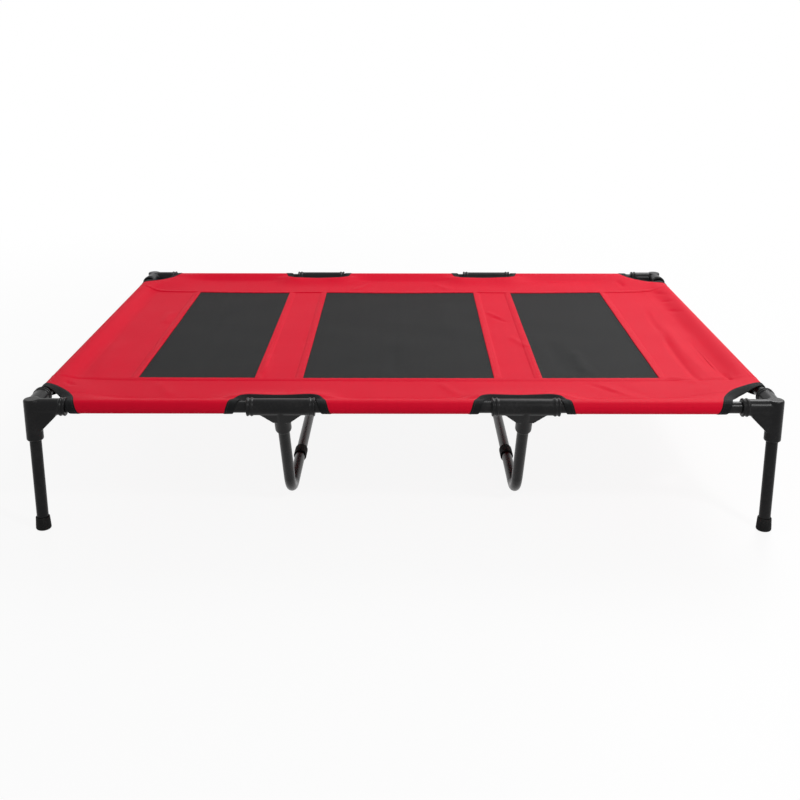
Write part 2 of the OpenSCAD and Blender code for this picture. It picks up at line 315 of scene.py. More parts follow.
class CotStage(bpy.types.PropertyGroup):
    """Floor, light and camera."""

    floor_colour: colour_prop("Floor colour", "Colour of the pale floor", (0.78, 0.78, 0.78))
    floor_w: length_prop("Floor width", "Length of each side of the floor", 40.0, least=4.0)
    sky: bpy.props.FloatProperty(
        name="Sky", description="Strength of the even light from all round",
        default=0.32, min=0.0,
    )
    lens: bpy.props.FloatProperty(
        name="Lens", description="Focal length for a 36 mm wide picture",
        default=48.89, min=10.0, unit="CAMERA",
    )
    camera_at: bpy.props.FloatVectorProperty(
        name="Camera place", description="Where the camera stands",
        subtype="TRANSLATION", unit="LENGTH", default=(0.0011, -2.0773, 0.8190),
    )
    camera_turn: bpy.props.FloatVectorProperty(
        name="Camera turn", description="How the camera is turned from looking straight down",
        subtype="EULER", unit="ROTATION", default=(math.radians(74.461), 0.0, math.radians(0.225)),
    )
    camera_shift: bpy.props.FloatProperty(
        name="Camera shift", description="Shift of the picture, in picture widths",
        default=-0.1045, min=-0.2, max=0.2,
    )


def smooth_share(x):
    x = np.clip(x, 0.0, 1.0)
    return x * x * (3 - 2 * x)


def distance_along(points):
    """Distance along a path to each of its points."""
    steps = np.linalg.norm(np.diff(points, axis=0), axis=1)
    return np.concatenate([[0.0], np.cumsum(steps)])


class Sleeve:
    """Section of a cloth sleeve: off the sheet, up over a rail, round it and back under the sheet."""

    STEPS = 24

    def __init__(self, run, radius, ply_gap, hem):
        share = [i / self.STEPS for i in range(self.STEPS + 1)]
        top = [(run * (1 - u), radius * (1 - math.cos(math.pi * u)) / 2) for u in share]
        turn = [(-radius * math.sin(math.pi * u), radius * math.cos(math.pi * u)) for u in share[1:]]
        back = [(run * u, -radius * (1 + math.cos(math.pi * u)) / 2 - ply_gap * u) for u in share[1:]]
        under = [(run + hem, -ply_gap), (run + hem + hem, -ply_gap)]
        self.section = np.array(top + turn + back + under)
        self.length = distance_along(self.section)
        self.run = run
        self.outermost = int(np.argmin(self.section[:, 0]))
        # Unrolled distances of the hem's edge under the sheet and of the seam that closes the sleeve
        self.hem_edge = run - self.length[-2]
        self.close_edge = run - self.length[-3]

    def roll(self, inward):
        """Distance from the rail's axis, height and share of the drape at unrolled distances."""
        length = np.clip(self.run - inward, 0.0, None)
        v = np.where(length > 0, np.interp(length, self.length, self.section[:, 0]), inward)
        z = np.interp(length, self.length, self.section[:, 1])
        over = length <= self.length[self.outermost]
        return v, z, smooth_share(np.where(over, v / self.run, 0.0))


def bed():
    return bpy.context.scene.cot_bed


def make_sleeve():
    middle_r = SLEEVE_R - bed().cloth_t / 2
    return Sleeve(SLEEVE_RUN, middle_r, PLY_GAP * bed().cloth_t, bed().under_hem)


def fold_height(x, y, fold):
    """Height of one crease, which fades out towards its ends."""
    (x0, y0), (x1, y1), half_w, height = fold
    dx, dy = (x1 - x0) * MM, (y1 - y0) * MM
    length = math.hypot(dx, dy)
    along = ((x - x0 * MM) * dx + (y - y0 * MM) * dy) / length**2
    bow = FOLD_BOW * length * np.sin(math.pi * along)
    across = ((x - x0 * MM) * dy - (y - y0 * MM) * dx) / length - bow
    ends = smooth_share(along * FOLD_FADE_PARTS) * smooth_share((1 - along) * FOLD_FADE_PARTS)
    return height * MM * ends * np.exp(-((across / (half_w * MM)) ** 2))


def ripple(along, across, seed):
    """Ripples that sewing leaves beside a seam."""
    drift = RIPPLE_DRIFT * np.sin(TAU * along / RIPPLE_DRIFT_WAVE + seed)
    wave = np.sin(TAU * along / RIPPLE_WAVE + drift)
    wave += RIPPLE_FINE * np.sin(TAU * along / RIPPLE_FINE_WAVE + RIPPLE_FINE_TURN * seed)
    return wave * np.exp(-((across / RIPPLE_REACH) ** 2))


def drawn_up(past, away_reach, fall_reach):
    """Share of a rise at a distance past the edge of a cut-out."""
    away = np.exp(-((past / away_reach) ** 2))
    return np.where(past > 0, away, np.clip(1 + past / fall_reach, 0, 1))


def past_tee(flat):
    """Distances from the nearest tee along its rail, and past the edge of its cut-out."""
    along = np.abs(np.abs(flat[:, 0] - TEE_CUT_SHIFT) - TEE_X)
    out_y = np.clip(AXIS_Y - np.abs(flat[:, 1]) - TEE_ROUND_Y, 0, None)
    return along, np.hypot(np.clip(along - TEE_ROUND_X, 0, None), out_y) - TEE_CUT_ROUND


def tape_hang(flat):
    """How far the tapes at the tees hang down behind the rails, at points of the unrolled plan."""
    behind = smooth_share((AXIS_Y - np.abs(flat[:, 1]) - TEE_HANG_START) / TEE_HANG_REACH)
    return TEE_HANG * behind * smooth_share(-past_tee(flat)[1] / bed().tape_w)


def rise(flat):
    """How far the cloth is drawn up round the cut-outs, at points of its unrolled plan."""
    inward_x, inward_y = AXIS_X - np.abs(flat[:, 0]), AXIS_Y - np.abs(flat[:, 1])
    past_corner = np.hypot(inward_x - CORNER_X, inward_y - CORNER_Y) - CORNER_R
    corner = drawn_up(past_corner, CORNER_RISE_REACH, TAPE_FALL_REACH)
    along, past = past_tee(flat)
    dip = TEE_DIP * (1 - smooth_share(along / TEE_DIP_HALF))
    arch = smooth_share((inward_y - TEE_RISE_START) / TEE_CUT_ROUND) * (1 - dip)
    tee = arch * drawn_up(past, TEE_RISE_REACH, TEE_FALL_REACH)
    return bed().corner_rise * corner + bed().tee_rise * tee


def drape(x, y):
    """Height of the stretched bed over the plane of its rails."""
    settings = bed()
    z = -settings.sag * np.clip(1 - (x / AXIS_X) ** 2, 0, 1) * np.clip(1 - (y / AXIS_Y) ** 2, 0, 1)
    for fold in FOLDS:
        z = z + settings.fold_strength * fold_height(x, y, fold)
    sewn_x, sewn_y = x - settings.slide_x, y - settings.slide_y
    for seed, seam_y in enumerate((-MESH_Y, MESH_Y)):
        z = z + settings.pucker * ripple(x, sewn_y - seam_y, seed)
    inside = smooth_share((MESH_Y + CROSS_FADE - np.abs(sewn_y)) / CROSS_FADE)
    for seed, seam_x in enumerate((-MESH_X, -BAND_OUT, -BAND_IN, BAND_IN, BAND_OUT, MESH_X)):
        z = z + settings.pucker * inside * ripple(y, sewn_x - seam_x, seed + CROSS_SEED)
    bend = SWELL_BEND * np.sin(TAU * y / SWELL_BEND_Y)
    swell = np.sin(TAU * x / SWELL_X + bend) * np.sin(TAU * y / SWELL_Y + SWELL_TURN)
    return z + SWELL_H * swell


def unlifted(flat, sleeve):
    """Points in the middle of the cloth over points of its unrolled plan."""
    placed = flat + [bed().slide_x, bed().slide_y]
    x_side, y_side = np.sign(placed[:, 0]), np.sign(placed[:, 1])
    vx, zx, share_x = sleeve.roll(AXIS_X - np.abs(placed[:, 0]))
    vy, zy, share_y = sleeve.roll(AXIS_Y - np.abs(placed[:, 1]))
    x, y = x_side * (AXIS_X - vx), y_side * (AXIS_Y - vy)
    drawn = drape(x, y) + rise(flat)
    z = RAIL_Z + zx + zy + drawn * share_x * share_y - tape_hang(flat)
    return np.stack([x, y, z], axis=1)


def bed_surface(flat, sleeve, lift=0.0):
    """Points of the bed over points of its unrolled plan, lift above the middle of the cloth."""
    flat = np.asarray(flat, dtype=float).reshape(-1, 2)
    along_x = unlifted(flat + [SLOPE_STEP, 0], sleeve) - unlifted(flat - [SLOPE_STEP, 0], sleeve)
    along_y = unlifted(flat + [0, SLOPE_STEP], sleeve) - unlifted(flat - [0, SLOPE_STEP], sleeve)
    normal = np.cross(along_x, along_y)
    normal /= np.linalg.norm(normal, axis=1)[:, None]
    return unlifted(flat, sleeve) + normal * np.asarray(lift).reshape(-1, 1)


def spread(start, stop, count):
    return [start + (stop - start) * i / (count - 1) for i in range(count)]


def arc(x, y, radius, start, stop):
    """Points on a round stretch of an outline, between two angles."""
    return [(x + radius * math.cos(a), y + radius * math.sin(a)) for a in spread(start, stop, ARC_POINTS)]


def walked(points):
    """The path through points, in even steps."""
    points = np.array(points)
    along = distance_along(points)
    even = np.linspace(0.0, along[-1], math.ceil(along[-1] / PATH_STEP) + 1)
    return np.stack([np.interp(even, along, points[:, axis]) for axis in (0, 1)], axis=1)


def corner_path(reach):
    """Edge of a corner cut-out, which runs on straight round both sleeves to the unrolled distance reach.

    Points are unrolled distances from the end rail's axis and from the side rail's axis.
    """
    first = math.atan2(-CORNER_Y, CORNER_CUT_X - CORNER_X)
    last = math.atan2(CORNER_CUT_Y - CORNER_Y, -CORNER_X)
    on_side = (CORNER_CUT_X - reach * CORNER_CUT_SLANT, reach)
    on_end = (reach, CORNER_CUT_Y - reach / math.tan(last))
    return walked([on_side, *arc(CORNER_X, CORNER_Y, CORNER_R, first, last), on_end])


def tee_path(reach):
    """Edge of a tee cut-out, which runs on straight round the sleeve to the unrolled distance reach.

    Points are distances along the rail from the tee and unrolled distances from the rail's axis.
    """
    left = [(TEE_CUT_SLANT * reach - TEE_CUT_HALF, reach)]
    left += arc(-TEE_ROUND_X, TEE_ROUND_Y, TEE_CUT_ROUND, math.pi - TEE_CUT_LEAN, math.pi / 2)
    return walked(left + mirrored(left[::-1], -1, 1))


def at_corner(path, side, end):
    return [(ENDS[end] * (AXIS_X - x), SIDES[side] * (AXIS_Y - s)) for x, s in path]


def at_tee(path, side, end):
    tee_x = ENDS[end] * TEE_X + TEE_CUT_SHIFT
    return [(tee_x + x, SIDES[side] * (AXIS_Y - s)) for x, s in path]


def flare_y(side, end, reach):
    """Distance of a flared seam from the bed's middle line, reach past its straight stretch."""
    flare = FLARE_RISES[side, end]
    radius = (FLARE_L**2 + flare**2) / (2 * flare)
    return MESH_Y + radius - np.sqrt(radius**2 - reach**2)


def flare_path(sleeve, side, end):
    """Seam of a side strip from the mesh's corner to the hem under an end rail."""
    straight = [(x, MESH_Y) for x in spread(MESH_X, FLARE_X, FLARE_START_POINTS)]
    rolled = np.array(spread(FLARE_L, sleeve.hem_edge, FLARE_POINTS)[1:])
    flared = flare_y(side, end, np.minimum(FLARE_L - sleeve.roll(rolled)[0], FLARE_L))
    return mirrored(straight + list(zip(AXIS_X - rolled, flared)), ENDS[end], SIDES[side])


def mirrored(path, x_sign, y_sign):
    return [(x_sign * x, y_sign * y) for x, y in path]


def filled_in(outline, spacing):
    """The closed outline with no step longer than spacing."""
    dense = []
    for (x0, y0), (x1, y1) in zip(outline, outline[1:] + outline[:1]):
        count = max(1, math.ceil(math.hypot(x1 - x0, y1 - y0) / spacing))
        dense += [(x0 + (x1 - x0) * i / count, y0 + (y1 - y0) * i / count) for i in range(count)]
    return dense


def inside_outline(points, outline):
    """Which points lie inside a closed outline, by counting the edges to the right of each."""
    start = np.array(outline)
    stop = np.roll(start, -1, axis=0)
    inside = np.zeros(len(points), dtype=bool)
    for (x0, y0), (x1, y1) in zip(start, stop):
        if y0 == y1:
            continue
        crosses = (y0 > points[:, 1]) != (y1 > points[:, 1])
        inside ^= crosses & (points[:, 0] < x0 + (points[:, 1] - y0) * (x1 - x0) / (y1 - y0))
    return inside


def cut_sheet(outline, spacing):
    """Points and triangles of a flat cut: its outline and a staggered grid inside it."""
    edge = filled_in(outline, spacing)
    low, high = np.min(edge, axis=0), np.max(edge, axis=0)
    row_step = spacing * math.sqrt(3) / 2
    rows = np.arange(low[1], high[1], row_step)
    columns = np.arange(low[0], high[0], spacing)
    grid = np.array([(x + (i % 2) * spacing / 2, y) for i, y in enumerate(rows) for x in columns])
    grid = grid[inside_outline(grid, edge)]
    near = kdtree.KDTree(len(edge))
    for i, (x, y) in enumerate(edge):
        near.insert((x, y, 0.0), i)
    near.balance()
    grid = [tuple(p) for p in grid if near.find((*p, 0.0))[2] > spacing * EDGE_CLEAR]
    points = [Vector(p) for p in edge + grid]
    made = delaunay_2d_cdt(points, [], [list(range(len(edge)))], INSIDE_ONLY, SAME_POINT)
    flat = np.array([tuple(p) for p in made[0]])
    triangles = []
    for a, b, c in made[2]:
        turn = np.cross(flat[b] - flat[a], flat[c] - flat[a])
        triangles.append((a, b, c) if turn > 0 else (a, c, b))
    return flat, triangles


def shell(flat, triangles, sleeve, thickness):
    """Both faces and the rim of a sheet that follows the bed, with its unrolled plan as the UV map."""
    count = len(flat)
    uses = {}
    for triangle in triangles:
        for a, b in zip(triangle, triangle[1:] + triangle[:1]):
            uses.setdefault(frozenset((a, b)), []).append((a, b))
    rim = [pairs[0] for pairs in uses.values() if len(pairs) == 1]
    top = bed_surface(flat, sleeve, thickness / 2)
    under = bed_surface(flat, sleeve, -thickness / 2)
    faces = list(triangles)
    faces += [(c + count, b + count, a + count) for a, b, c in triangles]
    faces += [(b, a, a + count, b + count) for a, b in rim]
    return np.concatenate([top, under]), faces, np.concatenate([flat, flat])


def band(edge, inner, profile, sleeve, press=1.0):
    """A closed band swept along two unrolled paths.

    The profile's points are shares of the way from edge to inner, and lifts off the cloth.
    Of the lifts, the share press is left.
    """
    edge, inner = np.array(edge), np.array(inner)
    rings = [bed_surface(edge + (inner - edge) * share, sleeve, lift * press) for share, lift in profile]
    points = np.stack(rings, axis=1).reshape(-1, 3)
    n, stations = len(profile), len(edge)
    faces = []
    for i in range(stations - 1):
        for k in range(n):
            a, b = i * n + k, i * n + (k + 1) % n
            faces.append((a, b, b + n, a + n))
    faces += [tuple(range(n - 1, -1, -1)), tuple(range((stations - 1) * n, stations * n))]
    along = distance_along((edge + inner) / 2)
    width = np.linalg.norm(inner - edge, axis=1).mean()
    uv = np.array([(s, share * width) for s in along for share, _ in profile])
    return points, faces, uv


def offset_path(path, distance):
    """The path moved sideways, to the left of its direction."""
    points = np.array(path)
    ahead = np.gradient(points, axis=0)
    ahead /= np.linalg.norm(ahead, axis=1)[:, None]
    return points + distance * np.stack([-ahead[:, 1], ahead[:, 0]], axis=1)


def joined(parts):
    """One list of points, faces and UV points from several."""
    points, faces, uv = [], [], []
    for part_points, part_faces, part_uv in parts:
        start = sum(len(p) for p in points)
        points.append(part_points)
        faces += [tuple(i + start for i in face) for face in part_faces]
        uv.append(part_uv)
    return np.concatenate(points), faces, np.concatenate(uv)


def new_object(name, data):
    """A new object in the scene."""
    made = bpy.data.objects.new(name, data)
    bpy.context.scene.collection.objects.link(made)
    return made


def made_plain(piece):
    """The mesh that a piece's modifiers make of it, which takes their place."""
    evaluated = piece.evaluated_get(bpy.context.evaluated_depsgraph_get())
    mesh = bpy.data.meshes.new_from_object(evaluated)
    piece.modifiers.clear()
    piece.data = mesh
    return mesh


def add_piece(name, parts, material):
    """A new piece of the object, shaded smooth but for its edges, that rides on the frame."""
    points, faces, uv = joined(parts)
    mesh = bpy.data.meshes.new(name)
    mesh.from_pydata([tuple(p) for p in points], [], faces)
    layer = mesh.uv_layers.new(name=UV_MAP)
    corner_points = np.empty(len(mesh.loops), dtype=np.int32)
    mesh.loops.foreach_get("vertex_index", corner_points)
    layer.data.foreach_set("uv", uv[corner_points].astype(np.float32).ravel())
    recalculated = bmesh.new()
    recalculated.from_mesh(mesh)
    bmesh.ops.recalc_face_normals(recalculated, faces=recalculated.faces)
    recalculated.to_mesh(mesh)
    recalculated.free()
    mesh.shade_smooth()
    mesh.set_sharp_from_angle(angle=SHARP_ANGLE)
    mesh.materials.append(material)
    piece = new_object(name, mesh)
    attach(piece, BODY)
    return piece


def hem_profile():
    """Section of the doubled cloth at a seam, which wraps the seam's edge and holds two stitch rows."""
    half, top = bed().cloth_t / 2, bed().hem_h
    under = -2.1 * half
    return [
        (-0.10, 0.2 * half), (-0.08, 0.75 * top), (0.0, top), (0.14, top), (0.22, 0.85 * top), (0.30, top),
        (0.62, 0.70 * top), (0.70, 0.56 * top), (0.78, 0.56 * top), (1.10, 0.25 * top), (1.12, 0.3 * half),
        (1.0, 0.8 * under), (0.9, under), (0.06, under), (-0.06, 0.7 * under),
    ]


# Rows of stitches on a hem: shares of its width and of its height
STITCH_ROWS = ((0.22, 0.86), (0.70, 0.58))


def tape_profile():
    """Section of the binding tape, folded round the edge of the cloth."""
    half = bed().cloth_t / 2
    edge, full = 1.75 * half, 2.3 * half
    above = [
        (-0.16, 0.6 * half), (-0.16, edge), (0.0, full),
        (0.5, full), (0.86, 0.95 * full), (0.97, 0.7 * full),
    ]
    return above + [(1.0, 0.0)] + [(share, -lift) for share, lift in reversed(above)]


def feed(tree, node, inputs):
    """Gives a node's inputs values or the outputs of other nodes."""
    for key, value in inputs.items():
        if isinstance(value, bpy.types.NodeSocket):
            tree.links.new(value, node.inputs[key])
        else:
            node.inputs[key].default_value = value


def add_node(tree, kind, inputs=None, **attributes):
    """A new node with its attributes set and its inputs fed."""
    node = tree.nodes.new(kind)
    for name, value in attributes.items():
        setattr(node, name, value)
    feed(tree, node, inputs or {})
    return node


def math_node(tree, operation, *values):
    node = add_node(tree, "ShaderNodeMath", dict(enumerate(values)), operation=operation)
    return node.outputs[0]


# Places of a Mix node's sockets for colours
MIX_SHARE, MIX_A, MIX_B, MIX_RESULT = 0, 6, 7, 2


def mix_colour(tree, share, a, b):
    inputs = {MIX_SHARE: share, MIX_A: a, MIX_B: b}
    return add_node(tree, "ShaderNodeMix", inputs, data_type="RGBA").outputs[MIX_RESULT]


def new_group(name, inputs, outputs):
    """An empty shader node group and its two ends; inputs give a socket type and a default."""
    group = bpy.data.node_groups.new(name, "ShaderNodeTree")
    for socket, (kind, default) in inputs.items():
        made = group.interface.new_socket(socket, in_out="INPUT", socket_type=kind)
        if default is not None:
            made.default_value = default
    for socket in outputs:
        group.interface.new_socket(socket, in_out="OUTPUT", socket_type="NodeSocketFloat")
    return group, group.nodes.new("NodeGroupInput"), group.nodes.new("NodeGroupOutput")


def weave_group(name):
    """Threads that cross over and under: their height, the gaps between them, where shade is painted, and a
    tone for each thread.
    """
    inputs = {
        "Vector": ("NodeSocketVector", None),
        "Pitch along": ("NodeSocketFloat", 0.0006),
        "Pitch across": ("NodeSocketFloat", 0.0006),
    }
    group, given, result = new_group(name, inputs, ("Height", "Gap", "Tone"))
    parts = add_node(group, "ShaderNodeSeparateXYZ", {0: given.outputs["Vector"]})
    count, swell = {}, {}
    for axis, pitch in (("X", "Pitch along"), ("Y", "Pitch across")):
        passed = math_node(group, "DIVIDE", parts.outputs[axis], given.outputs[pitch])
        count[axis] = math_node(group, "FLOOR", passed)
        share = math_node(group, "FRACT", passed)
        swell[axis] = math_node(group, "SINE", math_node(group, "MULTIPLY", share, math.pi))
    total = math_node(group, "ADD", count["X"], count["Y"])
    over = math_node(group, "FLOORED_MODULO", total, 2.0)
    crossing = math_node(group, "MULTIPLY", swell["X"], swell["Y"])
    lifted, tones = {}, {}
    for axis in "XY":
        level = math_node(group, "MULTIPLY", swell[axis], 0.5)
        lifted[axis] = math_node(group, "MULTIPLY_ADD", crossing, 0.5, level)
        noise = add_node(group, "ShaderNodeTexWhiteNoise", {"W": count[axis]}, noise_dimensions="1D")
        tones[axis] = noise.outputs["Value"]
    step = math_node(group, "SUBTRACT", lifted["X"], lifted["Y"])
    height = math_node(group, "MULTIPLY_ADD", over, step, lifted["Y"])
    # Gaps between the threads, which the materials darken as painted shade
    gap_shade = math_node(group, "SUBTRACT", 1.0, math_node(group, "MAXIMUM", swell["X"], swell["Y"]))
    tone_step = math_node(group, "SUBTRACT", tones["X"], tones["Y"])
    tone = math_node(group, "MULTIPLY_ADD", over, tone_step, tones["Y"])
    feed(group, result, {"Height": height, "Gap": gap_shade, "Tone": tone})
    return group


def grain_group(name):
    """Fine pebbling of a moulded or painted skin, with slow drifts of tone and specks of dust over it."""
    inputs = {
        "Vector": ("NodeSocketVector", None),
        "Grain": ("NodeSocketFloat", 900.0),
        "Drift": ("NodeSocketFloat", 14.0),
    }
    group, given, result = new_group(name, inputs, ("Height", "Tone", "Dust"))
    vector, grain, drift = (given.outputs[key] for key in inputs)
    specks = math_node(group, "MULTIPLY", drift, 9.0)
    noise = []
    for scale, detail in ((grain, 3.0), (drift, 5.0), (specks, 6.0)):
        inputs = {"Vector": vector, "Scale": scale, "Detail": detail}
        noise.append(add_node(group, "ShaderNodeTexNoise", inputs).outputs[0])
    fine, slow, dust = noise
    settled = math_node(group, "MULTIPLY", dust, slow)
    cleared = add_node(group, "ShaderNodeMapRange", {"Value": settled, "From Min": 0.22, "From Max": 0.42})
    feed(group, result, {"Height": fine, "Tone": slow, "Dust": cleared.outputs[0]})
    return group


def shared_group(name, builder):
    return bpy.data.node_groups.get(name) or builder(name)


def new_material(name):
    """An empty node material with its Principled BSDF."""
    material = bpy.data.materials.new(name)
    material.use_nodes = True
    tree = material.node_tree
    return material, tree, tree.nodes["Principled BSDF"]


def bump(tree, height, distance, strength):
    inputs = {"Height": height, "Distance": distance, "Strength": strength}
    return add_node(tree, "ShaderNodeBump", inputs).outputs["Normal"]


def rgba(colour, gain=1.0):
    return tuple(min(1.0, c * gain) for c in colour) + (1.0,)


def threads(tree, along, across):
    """The weave group on the piece's own UV map."""
    uv = add_node(tree, "ShaderNodeUVMap", uv_map=UV_MAP)
    inputs = {"Vector": uv.outputs[0], "Pitch along": along, "Pitch across": across}
    return add_node(tree, "ShaderNodeGroup", inputs, node_tree=shared_group("Crossed threads", weave_group))


def skin_grain(tree, grain, drift):
    """The grain group on the piece's object coordinates."""
    place = add_node(tree, "ShaderNodeTexCoord")
    inputs = {"Vector": place.outputs["Object"], "Grain": grain, "Drift": drift}
    return add_node(tree, "ShaderNodeGroup", inputs, node_tree=shared_group("Skin grain", grain_group))


def ranged(tree, value, low, high):
    inputs = {"Value": value, "To Min": low, "To Max": high}
    return add_node(tree, "ShaderNodeMapRange", inputs).outputs[0]


def cloth_material():
    """Coated basket-weave cloth with a satin sheen and painted shade in the gaps between its threads."""
    material, tree, skin = new_material(RED_CLOTH)
    colour = bed().cloth_colour
    weave = threads(tree, along=0.0008, across=0.0008)
    patches = skin_grain(tree, grain=260.0, drift=7.0).outputs["Tone"]
    toned = mix_colour(tree, weave.outputs["Tone"], rgba(colour, 0.90), rgba(colour, 1.07))
    patched = mix_colour(tree, patches, toned, rgba(colour, 0.94))
    # Painted shade: the gaps between the threads are darkened to under half the cloth's colour
    gap_shade = ranged(tree, weave.outputs["Gap"], 0.0, 0.35)
    inputs = {
        "Base Color": mix_colour(tree, gap_shade, patched, rgba(colour, 0.45)),
        "Roughness": ranged(tree, weave.outputs["Height"], 0.62, 0.46),
        "Normal": bump(tree, weave.outputs["Height"], distance=0.00012, strength=0.6),
        "Specular IOR Level": 0.05,
    }
    feed(tree, skin, inputs)
    return material


def red_cloth():
    return bpy.data.materials.get(RED_CLOTH) or cloth_material()


def mesh_material():
    """Coated open mesh: round dark threads, with painted shade in the holes between them in place of real
    openings.
    """
    material, tree, skin = new_material("grey_open_mesh")
    colour = bed().mesh_colour
    weave = threads(tree, along=0.0016, across=0.0019)
    drift = skin_grain(tree, grain=320.0, drift=5.0)
    toned = mix_colour(tree, weave.outputs["Tone"], rgba(colour, 0.8), rgba(colour, 1.2))
    patched = mix_colour(tree, ranged(tree, drift.outputs["Tone"], 0.0, 0.6), toned, rgba(colour, 0.82))
    # Painted shade: the holes are filled with a colour far darker than the threads, not cut open
    hole_shade = math_node(tree, "POWER", weave.outputs["Gap"], 0.7)
    inputs = {
        "Base Color": mix_colour(tree, hole_shade, patched, rgba(colour, 0.12)),
        "Roughness": ranged(tree, weave.outputs["Height"], 0.75, 0.50),
        "Normal": bump(tree, weave.outputs["Height"], distance=0.0004, strength=0.8),
        "Specular IOR Level": 0.06,
    }
    feed(tree, skin, inputs)
    return material


def tape_material():
    """Ribbed black binding tape."""
    material, tree, skin = new_material("black_binding_tape")
    colour = bed().tape_colour
    weave = threads(tree, along=0.0011, across=0.0005)
    inputs = {
        "Base Color": mix_colour(tree, weave.outputs["Tone"], rgba(colour, 0.75), rgba(colour, 1.45)),
        "Roughness": ranged(tree, weave.outputs["Height"], 0.80, 0.55),
        "Normal": bump(tree, weave.outputs["Height"], distance=0.0003, strength=0.8),
        "Specular IOR Level": 0.12,
    }
    feed(tree, skin, inputs)
    return material


def thread_material(name, colour):
    """Twisted sewing thread."""
    material, tree, skin = new_material(name)
    twist = skin_grain(tree, grain=2600.0, drift=90.0)
    inputs = {
        "Base Color": mix_colour(tree, twist.outputs["Tone"], rgba(colour, 0.75), rgba(colour, 1.15)),
        "Roughness": 0.55,
        "Normal": bump(tree, twist.outputs["Height"], distance=0.0001, strength=0.6),
        "Specular IOR Level": 0.4,
    }
    feed(tree, skin, inputs)
    return material


def hard_material(name, colour, grain, drift, relief, roughness, dust, specular):
    """A moulded, painted or rubber skin with grain, slow drifts of tone and a little dust."""
    material, tree, skin = new_material(name)
    texture = skin_grain(tree, grain, drift)
    toned = mix_colour(tree, texture.outputs["Tone"], rgba(colour, 0.8), rgba(colour, 1.25))
    dusty = math_node(tree, "MULTIPLY", texture.outputs["Dust"], dust)
    inputs = {
        "Base Color": mix_colour(tree, dusty, toned, DUST_COLOUR),
        "Roughness": ranged(tree, texture.outputs["Tone"], *roughness),
        "Normal": bump(tree, texture.outputs["Height"], distance=relief, strength=0.7),
        "Specular IOR Level": specular,
    }
    feed(tree, skin, inputs)
    return material


def steel_material():
    return hard_material(
        "black_painted_steel", bpy.context.scene.cot_frame.steel_colour,
        grain=420.0, drift=18.0, relief=0.00004, roughness=(0.20, 0.34), dust=0.06, specular=0.135,
    )


def plastic_material():
    return hard_material(
        "black_moulded_plastic", bpy.context.scene.cot_frame.plastic_colour,
        grain=1500.0, drift=30.0, relief=0.00006, roughness=(0.26, 0.36), dust=0.06, specular=0.14,
    )


def rubber_material():
    return hard_material(
        "black_rubber", bpy.context.scene.cot_frame.rubber_colour,
        grain=1100.0, drift=40.0, relief=0.00012, roughness=(0.62, 0.80), dust=0.14, specular=0.12,
    )


def dress(nodes, material):
    """Gives CAD nodes that keep their shape a new finish."""
    for name in nodes:
        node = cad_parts[name]
        if not node.material_slots:
            node.data.materials.append(None)
        for slot in node.material_slots:
            slot.material = material


def rounded_copy(node, name, material, body):
    """A piece in a moulded node's shape whose sharp edges are rounded off."""
    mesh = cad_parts[node].data.copy()
    merged = bmesh.new()
    merged.from_mesh(mesh)
    bmesh.ops.remove_doubles(merged, verts=merged.verts, dist=MERGE_DIST)
    merged.to_mesh(mesh)
    merged.free()
    worked = new_object(name, mesh)
    remesh = worked.modifiers.new("Skin", "REMESH")
    remesh.mode = "VOXEL"
    remesh.voxel_size = bpy.context.scene.cot_frame.rounding
    relax = worked.modifiers.new("Relax", "SMOOTH")
    relax.factor = RELAX_FACTOR
    relax.iterations = RELAX_ROUNDS
    thin = worked.modifiers.new("Thin", "DECIMATE")
    thin.ratio = ROUNDED_KEEP
    smooth = made_plain(worked)
    bpy.data.meshes.remove(mesh)
    smooth.materials.clear()
    smooth.materials.append(material)
    smooth.shade_smooth()
    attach(worked, body)
    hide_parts(node)


class CotDressTubes(bpy.types.Operator):
    """Paint the rails, legs and supports gloss black"""

    bl_idname = "cot.dress_tubes"
    bl_label = "Paint tubes"

    def execute(self, context):
        names = [f"rail_{side}_{part}" for side in SIDES for part in PANELS]
        names += [f"end_rail_{end}" for end in ENDS]
        names += [f"support_tube_{end}" for end in ENDS]
        names += [f"leg_{side}_{end}" for side, end in CORNERS]
        dress(names, steel_material())
        return {"FINISHED"}


class CotMouldConnectors(bpy.types.Operator):
    """Round the edges of the corner and tee connectors and finish them as moulded plastic"""

    bl_idname = "cot.mould_connectors"
    bl_label = "Mould connectors"

    def execute(self, context):
        plastic = plastic_material()
        for side, end in CORNERS:
            for kind in ("corner", "tee"):
                node = f"{kind}_connector_{side}_{end}"
                rounded_copy(node, f"moulded_{kind}_{side}_{end}", plastic, BODY)
        return {"FINISHED"}


class CotDressRubber(bpy.types.Operator):
    """Round the edges of the foot caps and floor glides and finish them as rubber"""

    bl_idname = "cot.dress_rubber"
    bl_label = "Rubber feet and glides"

    def execute(self, context):
        rubber = rubber_material()
        for side, end in CORNERS:
            corner = f"{side}_{end}"
            kinds = ("foot_cap", "foot", f"{corner}_leg"), ("floor_glide", "glide", BODY)
            for node, kind, body in kinds:
                rounded_copy(f"{node}_{corner}", f"rubber_{kind}_{corner}", rubber, body)
        return {"FINISHED"}


def side_seam(side, sleeve):
    """The inner seam of a side strip, from under the left end rail to under the right one."""
    right, left = flare_path(sleeve, side, "right"), flare_path(sleeve, side, "left")
    between = [(x, SIDES[side] * MESH_Y) for x in spread(-MESH_X, MESH_X, SIDE_POINTS)]
    return left[:0:-1] + between + right[1:]


def seam_press(seam):
    """Share of a hem's height that is left along the inner seam of a side strip."""
    inward = AXIS_X - np.abs(np.array(seam)[:, 0])
    return PRESSED + (1 - PRESSED) * smooth_share(inward / SLEEVE_RUN)


